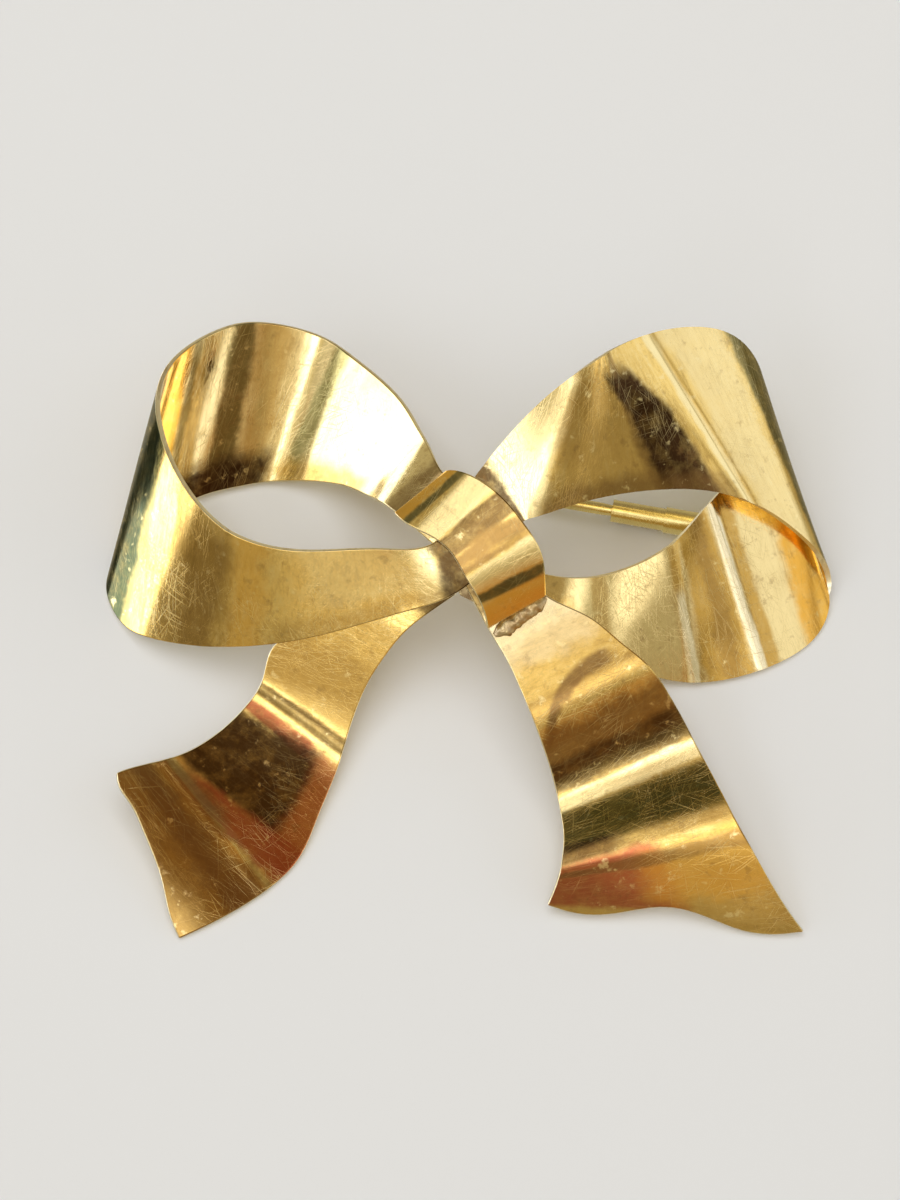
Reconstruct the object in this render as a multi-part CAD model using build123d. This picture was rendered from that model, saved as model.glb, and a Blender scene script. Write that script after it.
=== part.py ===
from build123d import *
from collections import namedtuple
from math import cos, radians, sin
import os

os.makedirs("parts", exist_ok=True)

# Sheet and clearances
sheet = 0.40              # thickness of the ribbon sheet
band_sheet = 0.50         # thickness of the knot band
air = 0.08                # clearance between two pieces that touch

# Reach of the ribbons from the middle of the knot, in the plane of the bow
left_reach = 25.0         # left loop, sideways
right_reach = 25.0        # right loop, sideways
loop_height = 16.0        # both loops, along the bow's upright direction
loop_depth = 12.0         # how far the loops go back behind the knot
tail_spread = 24.0        # both tails, sideways
tail_drop = 28.0          # both tails, downwards
tail_wave = 4.0           # height of the waves along the tails
beyond = 1.5              # how far past the tail its end cut reaches, as a share of the drop
band_length = 10.0        # knot band, along and across
band_arch = 1.15          # height of the arch of the knot band above its ends
knot_room = 0.95          # room under the arch, above the front ribbons

# How the bow lies: pitched up by its loops, with the knot above the surface
pitch = 22.0
knot_height = 12.15
knot_side = 0.10          # the knot's middle, from the middle of the whole outline
knot_back = 2.43

# Pin, hinge and catch
pin_level = 1.40          # height of the pin's centre line above the surface
pin_diameter = 0.90
pin_end_diameter = 0.60   # at its blunt end
pin_taper = 2.4           # length of the thinning at its end
pin_lap = 1.6             # how far the pin reaches into the channel
eye_diameter = 1.80
eye_width = 1.00
axle_diameter = 0.80
axle_play = 0.05          # radial clearance of the eye on its axle
cheek = 0.50              # thickness of each hinge cheek
channel_length = 3.9      # open channel that takes the pin's end
channel_wall = 0.25
channel_play = 0.12       # radial clearance of the pin in the channel
end_tube_length = 7.4     # closed tube behind the channel
end_tube_diameter = 1.90
end_tube_overhang = 0.9   # past the post that carries it
post_diameter = 1.30

# Where the hinge and the catch are soldered on: at which line of a loop's table,
# and how far across it as a share
Seat = namedtuple("Seat", "line share")
HINGE_SEAT = Seat(14, 0.75)
CATCH_SEAT = Seat(11, 0.28)

front_level = -band_sheet - knot_room - sheet / 2
middle_level = front_level - sheet - air
rear_level = middle_level - sheet - air

# One straight line across a ribbon. The first three columns place its upper or
# left rim, the last three its lower or right rim, as shares of the sizes above.
# Depth counts backwards from the ribbon's layer in the knot.
Line = namedtuple("Line", "side_a rise_a depth_a side_b rise_b depth_b")

# From the knot, out along the front, round the bend and back behind
LEFT_LOOP = [
    Line(-0.056, 0.158, 0.000, 0.045, -0.060, 0.000),
    Line(-0.106, 0.031, 0.000, -0.033, -0.182, 0.000),
    Line(-0.251, 0.009, -0.030, -0.196, -0.274, 0.060),
    Line(-0.446, 0.001, -0.030, -0.437, -0.376, 0.160),
    Line(-0.615, 0.045, 0.020, -0.653, -0.422, 0.300),
    Line(-0.745, 0.179, 0.120, -0.810, -0.414, 0.465),
    Line(-0.846, 0.412, 0.250, -0.936, -0.379, 0.610),
    Line(-0.881, 0.562, 0.350, -1.007, -0.317, 0.735),
    Line(-0.891, 0.677, 0.430, -1.052, -0.181, 0.825),
    Line(-0.874, 0.806, 0.510, -1.029, -0.044, 0.890),
    Line(-0.806, 0.933, 0.605, -0.935, 0.104, 0.960),
    Line(-0.722, 1.010, 0.680, -0.820, 0.243, 1.012),
    Line(-0.623, 1.046, 0.740, -0.698, 0.303, 1.043),
    Line(-0.440, 0.989, 0.760, -0.581, 0.331, 1.050),
    Line(-0.340, 0.890, 0.700, -0.467, 0.329, 0.965),
    Line(-0.208, 0.704, 0.500, -0.346, 0.291, 0.680),
    Line(-0.142, 0.540, 0.240, -0.276, 0.236, 0.330),
    Line(-0.107, 0.435, 0.065, -0.241, 0.204, 0.085),
    Line(-0.081, 0.354, 0.010, -0.210, 0.170, 0.012),
    Line(-0.009, 0.257, 0.000, -0.137, 0.073, 0.000),
    Line(0.064, 0.159, 0.000, -0.063, -0.025, 0.000),
]
RIGHT_LOOP = [
    Line(-0.044, 0.175, 0.000, 0.056, -0.043, 0.000),
    Line(0.025, 0.345, 0.000, 0.145, 0.119, 0.000),
    Line(0.167, 0.602, -0.006, 0.174, 0.142, 0.002),
    Line(0.293, 0.768, -0.050, 0.242, 0.178, 0.040),
    Line(0.355, 0.835, -0.030, 0.358, 0.232, 0.120),
    Line(0.395, 0.877, 0.020, 0.547, 0.274, 0.230),
    Line(0.503, 0.956, 0.170, 0.770, 0.237, 0.350),
    Line(0.656, 0.997, 0.330, 0.929, 0.101, 0.500),
    Line(0.767, 0.951, 0.460, 1.025, -0.050, 0.630),
    Line(0.828, 0.836, 0.560, 1.048, -0.181, 0.730),
    Line(0.846, 0.618, 0.610, 1.026, -0.331, 0.708),
    Line(0.781, 0.378, 0.590, 0.950, -0.453, 0.641),
    Line(0.692, 0.223, 0.530, 0.847, -0.529, 0.582),
    Line(0.580, 0.038, 0.420, 0.657, -0.587, 0.538),
    Line(0.404, -0.097, 0.240, 0.432, -0.495, 0.400),
    Line(0.242, -0.112, 0.060, 0.255, -0.358, 0.130),
    Line(0.150, -0.075, 0.018, 0.150, -0.325, 0.034),
    Line(0.060, -0.030, 0.004, 0.060, -0.265, 0.004),
    Line(-0.004, -0.020, 0.000, 0.016, -0.230, 0.000),
    Line(-0.067, -0.011, 0.000, -0.028, -0.195, 0.000),
]
LEFT_TAIL = [
    Line(-0.093, -0.004, 0.000, -0.040, -0.109, 0.000),
    Line(-0.219, -0.061, 0.180, -0.116, -0.154, 0.180),
    Line(-0.366, -0.124, 0.375, -0.193, -0.207, 0.375),
    Line(-0.498, -0.187, 0.500, -0.257, -0.275, 0.500),
    Line(-0.583, -0.245, 0.605, -0.307, -0.345, 0.600),
    Line(-0.615, -0.329, 0.690, -0.356, -0.454, 0.680),
    Line(-0.659, -0.389, 0.665, -0.390, -0.549, 0.655),
    Line(-0.729, -0.450, 0.575, -0.444, -0.664, 0.510),
    Line(-0.831, -0.507, 0.430, -0.508, -0.782, 0.320),
    Line(-0.924, -0.532, 0.270, -0.622, -0.869, 0.080),
    Line(-1.060, -0.570, 0.020, -0.882, -0.983, -0.200),
]
# Where the end of the left tail is cut, as shares of its spread and drop
Cut = namedtuple("Cut", "side rise")
LEFT_END = [
    Cut(-1.025, -0.545),
    Cut(-1.036, -0.575),
    Cut(-1.001, -0.627),
    Cut(-0.949, -0.717),
    Cut(-0.908, -0.803),
    Cut(-0.882, -0.895),
    Cut(-0.847, -0.970),
    Cut(-0.817, -1.000),
]
RIGHT_TAIL = [
    Line(-0.058, -0.021, 0.000, 0.074, 0.085, 0.000),
    Line(0.002, -0.115, 0.000, 0.146, -0.012, 0.000),
    Line(0.062, -0.209, -0.006, 0.219, -0.109, -0.006),
    Line(0.109, -0.277, -0.090, 0.351, -0.167, -0.090),
    Line(0.147, -0.347, -0.175, 0.433, -0.224, -0.175),
    Line(0.184, -0.424, -0.230, 0.511, -0.279, -0.230),
    Line(0.227, -0.526, -0.070, 0.587, -0.368, -0.070),
    Line(0.246, -0.582, 0.030, 0.627, -0.428, 0.030),
    Line(0.261, -0.640, 0.030, 0.664, -0.490, 0.033),
    Line(0.269, -0.678, -0.045, 0.692, -0.536, -0.045),
    Line(0.273, -0.717, -0.160, 0.719, -0.581, -0.165),
    Line(0.270, -0.752, -0.250, 0.745, -0.625, -0.280),
    Line(0.264, -0.786, -0.300, 0.770, -0.668, -0.345),
    Line(0.257, -0.812, -0.270, 0.820, -0.745, -0.345),
    Line(0.247, -0.840, -0.190, 0.874, -0.827, -0.290),
    Line(0.214, -0.909, 0.020, 1.001, -0.979, -0.050),
]
# The wavy end of the right tail, cut the same way
RIGHT_END = [
    Cut(0.205, -0.874),
    Cut(0.293, -0.904),
    Cut(0.372, -0.911),
    Cut(0.460, -0.901),
    Cut(0.550, -0.889),
    Cut(0.627, -0.896),
    Cut(0.793, -0.949),
    Cut(0.869, -0.959),
    Cut(0.951, -0.954),
    Cut(1.010, -0.947),
]
# Depth of the band counts down from the top of its arch
KNOT_BAND = [
    Line(-0.524, 0.255, 1.000, -0.153, 0.542, 1.000),
    Line(-0.418, 0.169, 0.420, -0.062, 0.545, 0.420),
    Line(-0.278, 0.098, 0.100, 0.084, 0.480, 0.100),
    Line(-0.132, -0.021, 0.000, 0.271, 0.320, 0.000),
    Line(-0.049, -0.160, 0.030, 0.396, 0.160, 0.030),
    Line(0.028, -0.285, 0.200, 0.494, -0.006, 0.200),
    Line(0.091, -0.410, 0.560, 0.524, -0.187, 0.560),
    Line(0.120, -0.543, 1.000, 0.526, -0.312, 1.000),
]


def lying(side, rise, toward):
    """A point of the bow's own plane, turned to the way the bow lies."""
    tilt = radians(pitch)
    back = rise * cos(tilt) - toward * sin(tilt)
    up = rise * sin(tilt) + toward * cos(tilt) + knot_height
    return Vector(side + knot_side, back + knot_back, up)


def levels(count, start, end):
    """Layer height of each line, easing from one end of a ribbon to the other."""
    steps = [index / (count - 1) for index in range(count)]
    return [start + (end - start) * step * step * (3 - 2 * step) for step in steps]


def rims(lines, reach, height, depth, start, end):
    """Both rims of a ribbon as points, one pair for each line of its table."""
    first = []
    second = []
    for line, level in zip(lines, levels(len(lines), start, end)):
        first.append(lying(line.side_a * reach, line.rise_a * height, level - line.depth_a * depth))
        second.append(lying(line.side_b * reach, line.rise_b * height, level - line.depth_b * depth))
    return first, second


def spacing(first, second):
    """Distance along the ribbon at each line, the mean of both rims."""
    total = [0.0]
    for index in range(1, len(first)):
        step = (first[index] - first[index - 1]).length + (second[index] - second[index - 1]).length
        total.append(total[-1] + step / 2)
    return total


def direction(points, total, index):
    """Running direction of a rim at one of its points."""
    if index == 0:
        return points[1] - points[0]
    if index == len(points) - 1:
        return points[-1] - points[-2]
    before = total[index] - total[index - 1]
    after = total[index + 1] - total[index]
    slope_before = (points[index] - points[index - 1]) / before
    slope_after = (points[index + 1] - points[index]) / after
    return (slope_before * after + slope_after * before) / (before + after)


def ribbon(first, second, thickness):
    """A bent strip of even thickness whose middle runs through both rims."""
    total = spacing(first, second)
    rails = {"front_a": [], "back_a": [], "front_b": [], "back_b": []}
    for index, (a, b) in enumerate(zip(first, second)):
        across = b - a
        for name, rim, point in (("a", first, a), ("b", second, b)):
            outward = direction(rim, total, index).cross(across).normalized() * (thickness / 2)
            rails["front_" + name].append(point + outward)
            rails["back_" + name].append(point - outward)
    curve = {name: Edge.make_spline(points, parameters=total) for name, points in rails.items()}
    skins = [
        Face.make_surface_from_curves(curve["front_a"], curve["front_b"]),
        Face.make_surface_from_curves(curve["back_a"], curve["back_b"]),
        Face.make_surface_from_curves(curve["front_a"], curve["back_a"]),
        Face.make_surface_from_curves(curve["front_b"], curve["back_b"]),
    ]
    for end in (0, -1):
        front = Edge.make_line(rails["front_a"][end], rails["front_b"][end])
        back = Edge.make_line(rails["back_a"][end], rails["back_b"][end])
        skins.append(Face.make_surface_from_curves(front, back))
    return Solid(Shell(skins))


def cut_end(tail, cuts):
    """Cut the tail's end along a curve, square to the bow's own plane."""
    tilt = radians(pitch)
    knot = (knot_side, knot_back, knot_height)
    bow = Plane(origin=knot, x_dir=(1, 0, 0), z_dir=(0, -sin(tilt), cos(tilt)))
    edge = [(cut.side * tail_spread, cut.rise * tail_drop) for cut in cuts]
    clear = beyond * tail_drop
    corners = [(clear, edge[-1][1]), (clear, -clear), (-clear, -clear), (-clear, edge[0][1])]
    outline = Spline(edge) + Polyline(edge[-1], *corners, edge[0])
    return tail - extrude(bow * make_face(outline), amount=loop_depth, both=True)


def left_rims():
    return rims(LEFT_LOOP, left_reach, loop_height, loop_depth, front_level, middle_level)


def right_rims():
    return rims(RIGHT_LOOP, right_reach, loop_height, loop_depth, front_level, rear_level)


def left_tail():
    first, second = rims(LEFT_TAIL, tail_spread, tail_drop, tail_wave, rear_level, rear_level)
    return cut_end(ribbon(first, second, sheet), LEFT_END)


def right_tail():
    first, second = rims(RIGHT_TAIL, tail_spread, tail_drop, tail_wave, middle_level, middle_level)
    return cut_end(ribbon(first, second, sheet), RIGHT_END)


def knot_band():
    foot = middle_level + sheet / 2 + air + band_sheet / 2
    top = foot + band_arch
    first, second = rims(KNOT_BAND, band_length, band_length, band_arch, top, top)
    return ribbon(first, second, band_sheet)


def seat(both, place):
    """A point on a loop, some way across one of its lines, dropped to the pin's level."""
    first, second = both
    point = first[place.line] + (second[place.line] - first[place.line]) * place.share
    return Vector(point.X, point.Y, pin_level)


hinge_seat = seat(left_rims(), HINGE_SEAT)
catch_seat = seat(right_rims(), CATCH_SEAT)
along = (catch_seat - hinge_seat).normalized()
axle_way = along.cross(Vector(0, 0, 1))
reach = (catch_seat - hinge_seat).length
tube_start = reach + end_tube_overhang - end_tube_length
channel_start = tube_start - channel_length
pin_length = channel_start + pin_lap

# In this plane x runs along the pin and y upwards, with the axle at its middle
side_on = Plane(origin=hinge_seat, x_dir=along, z_dir=axle_way)


def across_pin(distance):
    """The plane square to the pin, some way along it."""
    return Plane(origin=hinge_seat + along * distance, x_dir=axle_way, z_dir=along)


def below(solid, both):
    """What is left of a post under a loop's sheet, with the usual clearance."""
    first, second = both
    pieces = solid - ribbon(first, second, sheet + 2 * air)
    return pieces.solids().sort_by(Axis.Z)[0]


def pin_hinge():
    eye_room = eye_width / 2 + air
    outer = eye_diameter / 2
    body = side_on * extrude(Circle(axle_diameter / 2), amount=eye_room + cheek / 2, both=True)
    for side in (-1, 1):
        middle = side * (eye_room + cheek / 2)
        plate = Circle(outer) + Pos(0, outer + eye_diameter / 2) * Rectangle(2 * outer, 2 * outer + eye_diameter)
        body += side_on * Pos(0, 0, middle) * extrude(plate, amount=cheek / 2, both=True)
    return below(body, left_rims())


def pin_catch():
    inner = pin_diameter / 2 + channel_play
    outer = inner + channel_wall
    channel = extrude(Circle(outer), amount=channel_length)
    channel -= extrude(Circle(inner) + Pos(0, outer / 2) * Rectangle(2 * inner, outer), amount=channel_length)
    tube = extrude(Circle(end_tube_diameter / 2), amount=end_tube_length)
    body = across_pin(channel_start) * channel + across_pin(tube_start) * tube
    foot = Plane(origin=catch_seat)
    body += foot * extrude(Circle(post_diameter / 2), amount=loop_height)
    return below(body, right_rims())


def pin_stem():
    radius = pin_diameter / 2
    tip = pin_end_diameter / 2
    bore = axle_diameter / 2 + axle_play
    straight = pin_length - pin_taper
    profile = Polyline((0, 0), (0, radius), (straight, radius), (pin_length - tip, tip))
    profile += JernArc((pin_length - tip, tip), (1, 0), tip, -90)
    profile += Polyline((pin_length, 0), (0, 0))
    stem = revolve(make_face(profile), Axis.X) + extrude(Circle(eye_diameter / 2), amount=eye_width / 2, both=True)
    stem -= extrude(Circle(bore), amount=eye_width, both=True)
    return side_on * stem


export_step(ribbon(*left_rims(), sheet), "parts/left_loop.step")
export_step(ribbon(*right_rims(), sheet), "parts/right_loop.step")
export_step(left_tail(), "parts/left_tail.step")
export_step(right_tail(), "parts/right_tail.step")
export_step(knot_band(), "parts/knot_band.step")
export_step(pin_hinge(), "parts/pin_hinge.step")
export_step(pin_catch(), "parts/pin_catch.step")
export_step(pin_stem(), "parts/pin_stem.step")
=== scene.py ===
from collections import namedtuple
from math import cos, pi, radians, sin

import bpy
import numpy as np
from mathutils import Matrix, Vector, noise


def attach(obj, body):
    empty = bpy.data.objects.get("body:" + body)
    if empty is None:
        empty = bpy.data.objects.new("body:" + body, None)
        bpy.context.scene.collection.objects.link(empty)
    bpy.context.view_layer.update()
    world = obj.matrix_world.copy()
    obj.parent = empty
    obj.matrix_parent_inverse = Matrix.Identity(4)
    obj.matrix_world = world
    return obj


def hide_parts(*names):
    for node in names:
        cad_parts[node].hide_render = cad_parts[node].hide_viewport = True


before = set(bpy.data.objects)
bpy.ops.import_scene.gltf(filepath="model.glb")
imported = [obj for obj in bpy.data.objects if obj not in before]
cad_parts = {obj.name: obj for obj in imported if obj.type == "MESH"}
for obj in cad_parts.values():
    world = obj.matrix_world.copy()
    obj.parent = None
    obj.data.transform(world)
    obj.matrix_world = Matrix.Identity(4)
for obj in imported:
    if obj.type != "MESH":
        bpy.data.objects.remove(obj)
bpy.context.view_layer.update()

MM = 0.001

# Sizes of the ribbons and of the way the bow lies, in millimetres, as in the solids
sheet = 0.40
band_sheet = 0.50
air = 0.08
left_reach = 25.0
right_reach = 25.0
loop_height = 16.0
loop_depth = 12.0
tail_spread = 24.0
tail_drop = 28.0
tail_wave = 4.0
band_length = 10.0
band_arch = 1.15
knot_room = 0.95
pitch = 22.0
knot_height = 12.15
knot_side = 0.10
knot_back = 2.43

front_level = -band_sheet - knot_room - sheet / 2
middle_level = front_level - sheet - air
rear_level = middle_level - sheet - air
band_top = middle_level + sheet / 2 + air + band_sheet / 2 + band_arch

# How finely the strips are meshed, in millimetres, and how their edges are rounded, in
# millimetres, steps, and degrees that an edge turns by at least
step_along = 0.24
step_across = 0.30
rim_round = 0.11
rim_segments = 3
rim_angle = 50.0

# How a tail's cut end is found: the share of its length where the search starts, how many places
# are compared along the tail and along the cut, and how much a place takes from its neighbours
search_from = 0.6
search_steps = 400
cut_steps = 200
evening = [0.25, 0.5, 0.25]

# Slow unevenness of the sheet, in millimetres: its size and height, how far it stays off the
# middle of the knot and fades in from there, and the shift from one ribbon's to the next one's
wave_size = 5.0
wave_height = 0.04
wave_from = 5.0
wave_fade = 4.0
wave_shift = (17.0, 5.0, 11.0)

# A straight line across a ribbon, by where its two rims are, and a point of a tail's cut end, both
# as shares of the sizes above
Line = namedtuple("Line", "side_a rise_a depth_a side_b rise_b depth_b")
Cut = namedtuple("Cut", "side rise")

LEFT_LOOP = [
    Line(-0.056, 0.158, 0.000, 0.045, -0.060, 0.000),
    Line(-0.106, 0.031, 0.000, -0.033, -0.182, 0.000),
    Line(-0.251, 0.009, -0.030, -0.196, -0.274, 0.060),
    Line(-0.446, 0.001, -0.030, -0.437, -0.376, 0.160),
    Line(-0.615, 0.045, 0.020, -0.653, -0.422, 0.300),
    Line(-0.745, 0.179, 0.120, -0.810, -0.414, 0.465),
    Line(-0.846, 0.412, 0.250, -0.936, -0.379, 0.610),
    Line(-0.881, 0.562, 0.350, -1.007, -0.317, 0.735),
    Line(-0.891, 0.677, 0.430, -1.052, -0.181, 0.825),
    Line(-0.874, 0.806, 0.510, -1.029, -0.044, 0.890),
    Line(-0.806, 0.933, 0.605, -0.935, 0.104, 0.960),
    Line(-0.722, 1.010, 0.680, -0.820, 0.243, 1.012),
    Line(-0.623, 1.046, 0.740, -0.698, 0.303, 1.043),
    Line(-0.440, 0.989, 0.760, -0.581, 0.331, 1.050),
    Line(-0.340, 0.890, 0.700, -0.467, 0.329, 0.965),
    Line(-0.208, 0.704, 0.500, -0.346, 0.291, 0.680),
    Line(-0.142, 0.540, 0.240, -0.276, 0.236, 0.330),
    Line(-0.107, 0.435, 0.065, -0.241, 0.204, 0.085),
    Line(-0.081, 0.354, 0.010, -0.210, 0.170, 0.012),
    Line(-0.009, 0.257, 0.000, -0.137, 0.073, 0.000),
    Line(0.064, 0.159, 0.000, -0.063, -0.025, 0.000),
]
RIGHT_LOOP = [
    Line(-0.044, 0.175, 0.000, 0.056, -0.043, 0.000),
    Line(0.025, 0.345, 0.000, 0.145, 0.119, 0.000),
    Line(0.167, 0.602, -0.006, 0.174, 0.142, 0.002),
    Line(0.293, 0.768, -0.050, 0.242, 0.178, 0.040),
    Line(0.355, 0.835, -0.030, 0.358, 0.232, 0.120),
    Line(0.395, 0.877, 0.020, 0.547, 0.274, 0.230),
    Line(0.503, 0.956, 0.170, 0.770, 0.237, 0.350),
    Line(0.656, 0.997, 0.330, 0.929, 0.101, 0.500),
    Line(0.767, 0.951, 0.460, 1.025, -0.050, 0.630),
    Line(0.828, 0.836, 0.560, 1.048, -0.181, 0.730),
    Line(0.846, 0.618, 0.610, 1.026, -0.331, 0.708),
    Line(0.781, 0.378, 0.590, 0.950, -0.453, 0.641),
    Line(0.692, 0.223, 0.530, 0.847, -0.529, 0.582),
    Line(0.580, 0.038, 0.420, 0.657, -0.587, 0.538),
    Line(0.404, -0.097, 0.240, 0.432, -0.495, 0.400),
    Line(0.242, -0.112, 0.060, 0.255, -0.358, 0.130),
    Line(0.150, -0.075, 0.018, 0.150, -0.325, 0.034),
    Line(0.060, -0.030, 0.004, 0.060, -0.265, 0.004),
    Line(-0.004, -0.020, 0.000, 0.016, -0.230, 0.000),
    Line(-0.067, -0.011, 0.000, -0.028, -0.195, 0.000),
]
LEFT_TAIL = [
    Line(-0.093, -0.004, 0.000, -0.040, -0.109, 0.000),
    Line(-0.219, -0.061, 0.180, -0.116, -0.154, 0.180),
    Line(-0.366, -0.124, 0.375, -0.193, -0.207, 0.375),
    Line(-0.498, -0.187, 0.500, -0.257, -0.275, 0.500),
    Line(-0.583, -0.245, 0.605, -0.307, -0.345, 0.600),
    Line(-0.615, -0.329, 0.690, -0.356, -0.454, 0.680),
    Line(-0.659, -0.389, 0.665, -0.390, -0.549, 0.655),
    Line(-0.729, -0.450, 0.575, -0.444, -0.664, 0.510),
    Line(-0.831, -0.507, 0.430, -0.508, -0.782, 0.320),
    Line(-0.924, -0.532, 0.270, -0.622, -0.869, 0.080),
    Line(-1.060, -0.570, 0.020, -0.882, -0.983, -0.200),
]
LEFT_END = [
    Cut(-1.025, -0.545),
    Cut(-1.036, -0.575),
    Cut(-1.001, -0.627),
    Cut(-0.949, -0.717),
    Cut(-0.908, -0.803),
    Cut(-0.882, -0.895),
    Cut(-0.847, -0.970),
    Cut(-0.817, -1.000),
]
RIGHT_TAIL = [
    Line(-0.058, -0.021, 0.000, 0.074, 0.085, 0.000),
    Line(0.002, -0.115, 0.000, 0.146, -0.012, 0.000),
    Line(0.062, -0.209, -0.006, 0.219, -0.109, -0.006),
    Line(0.109, -0.277, -0.090, 0.351, -0.167, -0.090),
    Line(0.147, -0.347, -0.175, 0.433, -0.224, -0.175),
    Line(0.184, -0.424, -0.230, 0.511, -0.279, -0.230),
    Line(0.227, -0.526, -0.070, 0.587, -0.368, -0.070),
    Line(0.246, -0.582, 0.030, 0.627, -0.428, 0.030),
    Line(0.261, -0.640, 0.030, 0.664, -0.490, 0.033),
    Line(0.269, -0.678, -0.045, 0.692, -0.536, -0.045),
    Line(0.273, -0.717, -0.160, 0.719, -0.581, -0.165),
    Line(0.270, -0.752, -0.250, 0.745, -0.625, -0.280),
    Line(0.264, -0.786, -0.300, 0.770, -0.668, -0.345),
    Line(0.257, -0.812, -0.270, 0.820, -0.745, -0.345),
    Line(0.247, -0.840, -0.190, 0.874, -0.827, -0.290),
    Line(0.214, -0.909, 0.020, 1.001, -0.979, -0.050),
]
RIGHT_END = [
    Cut(0.205, -0.874),
    Cut(0.293, -0.904),
    Cut(0.372, -0.911),
    Cut(0.460, -0.901),
    Cut(0.550, -0.889),
    Cut(0.627, -0.896),
    Cut(0.793, -0.949),
    Cut(0.869, -0.959),
    Cut(0.951, -0.954),
    Cut(1.010, -0.947),
]
KNOT_BAND = [
    Line(-0.524, 0.255, 1.000, -0.153, 0.542, 1.000),
    Line(-0.418, 0.169, 0.420, -0.062, 0.545, 0.420),
    Line(-0.278, 0.098, 0.100, 0.084, 0.480, 0.100),
    Line(-0.132, -0.021, 0.000, 0.271, 0.320, 0.000),
    Line(-0.049, -0.160, 0.030, 0.396, 0.160, 0.030),
    Line(0.028, -0.285, 0.200, 0.494, -0.006, 0.200),
    Line(0.091, -0.410, 0.560, 0.524, -0.187, 0.560),
    Line(0.120, -0.543, 1.000, 0.526, -0.312, 1.000),
]

# Creases along straight lines of a ribbon, in millimetres: how far along it each one meets
# the first and the second rim, its half width, and its height
Crease = namedtuple("Crease", "place_a place_b width height")
LEFT_LOOP_CREASES = [
    Crease(19.0, 20.2, 1.00, 0.06),
    Crease(46.6, 45.9, 0.60, 0.02),
]
RIGHT_LOOP_CREASES = [
    Crease(13.4, 15.6, 0.60, -0.05),
    Crease(19.6, 20.5, 0.45, 0.09),
    Crease(40.3, 40.3, 0.35, 0.09),
    Crease(45.0, 45.0, 0.35, 0.09),
]
LEFT_TAIL_CREASES = [
    Crease(15.2, 15.8, 0.40, 0.07),
    Crease(25.6, 26.0, 0.45, 0.08),
]

# Colours of the gold, pale to dark. The washes use some of them as tarnish and wear; the bands below use
# them as painted highlights, painted reflections of the room and painted shade, and some as tarnish
yellow = (0.95, 0.67, 0.21)
bright = (1.00, 0.83, 0.42)
pale = (1.00, 0.90, 0.62)
amber = (0.90, 0.49, 0.07)
honey = (0.62, 0.38, 0.08)
deep = (0.44, 0.27, 0.07)
# A paler gold for the loops' insides, a painted reflection that keeps them bright
painted_bright_inner = (0.98, 0.80, 0.40)
moss = (0.21, 0.16, 0.05)
brown = (0.23, 0.125, 0.042)
dark = (0.055, 0.027, 0.011)
red = (0.42, 0.12, 0.05)
umber = (0.16, 0.09, 0.03)
olive = (0.34, 0.32, 0.12)
solder = (0.62, 0.50, 0.34)
wire = (0.88, 0.74, 0.33)
green = (0.05, 0.07, 0.035)
black = (0.0, 0.0, 0.0)

# Colours of the floor, the dome behind it and the lamp
floor_colour = (0.76, 0.79, 0.84)
backdrop_colour = (0.60, 0.585, 0.555)
lamp_colour = (1.0, 0.99, 0.97)

# Painted highlights, painted reflections of the room and painted shade, with some tarnish, in bands
# across a ribbon, in millimetres: where each band meets the first and the second rim, half its even
# width, how far it fades, its tint and strength, the shares of the ribbon's width between which it
# shows, and how far it bends away near the first rim
Stain = namedtuple(
    "Stain", "place_a place_b half soft tint strength low high bend", defaults=(0.0, 1.0, 0.0)
)
# The left loop's front: the bright bands are painted highlights, the amber, olive and green ones painted
# reflections of the room, the dark one by the knot painted shade where the loop goes under the band, and
# the deep ones partly tarnish and partly painted reflection
LEFT_LOOP_TARNISH_AND_PAINTED_LIGHT = [
    Stain(3.8, 3.8, 0.6, 0.8, bright, 0.8),
    Stain(9.0, 7.5, 3.0, 3.0, bright, 0.45, high=0.7),
    Stain(10.0, 10.0, 4.0, 4.0, deep, 0.4, low=0.8),
    Stain(17.0, 17.0, 0.6, 1.6, amber, 0.5),
    Stain(20.4, 20.4, 1.2, 1.8, deep, 0.8, low=0.1),
    Stain(22.7, 23.0, 1.0, 0.5, deep, 0.75, high=0.45),
    Stain(27.4, 28.6, 0.6, 0.5, olive, 0.8),
    Stain(29.6, 30.7, 1.9, 0.8, green, 0.95),
    Stain(1.6, 1.8, 1.0, 1.0, dark, 0.95),
]
# The left loop's inside, all painted light: the bright bands are painted highlights, the amber, olive,
# moss and honey ones painted reflections, and the dark and brown ones painted shade along the lower rim
# and by the knot
LEFT_INSIDE_PAINTED_LIGHT = [
    Stain(12.0, 12.0, 10.0, 6.0, bright, 0.9),
    Stain(34.4, 35.0, 1.8, 0.9, amber, 1.0, high=0.65),
    Stain(39.6, 39.6, 0.4, 0.6, bright, 1.0),
    Stain(37.2, 37.2, 0.2, 0.5, moss, 0.7),
    Stain(41.6, 41.2, 0.7, 0.7, moss, 0.95),
    Stain(43.8, 43.8, 0.5, 0.9, honey, 0.6),
    Stain(41.5, 41.5, 3.5, 2.0, dark, 1.0, low=0.80),
    Stain(46.5, 46.1, 0.3, 0.4, bright, 1.0, high=0.92),
    Stain(48.6, 47.5, 0.5, 0.5, olive, 0.75),
    Stain(54.5, 53.0, 4.6, 1.0, bright, 1.0),
    Stain(52.0, 51.0, 4.0, 3.0, honey, 0.85, low=0.84),
    Stain(63.0, 63.0, 0.5, 0.6, brown, 0.7),
]
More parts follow.
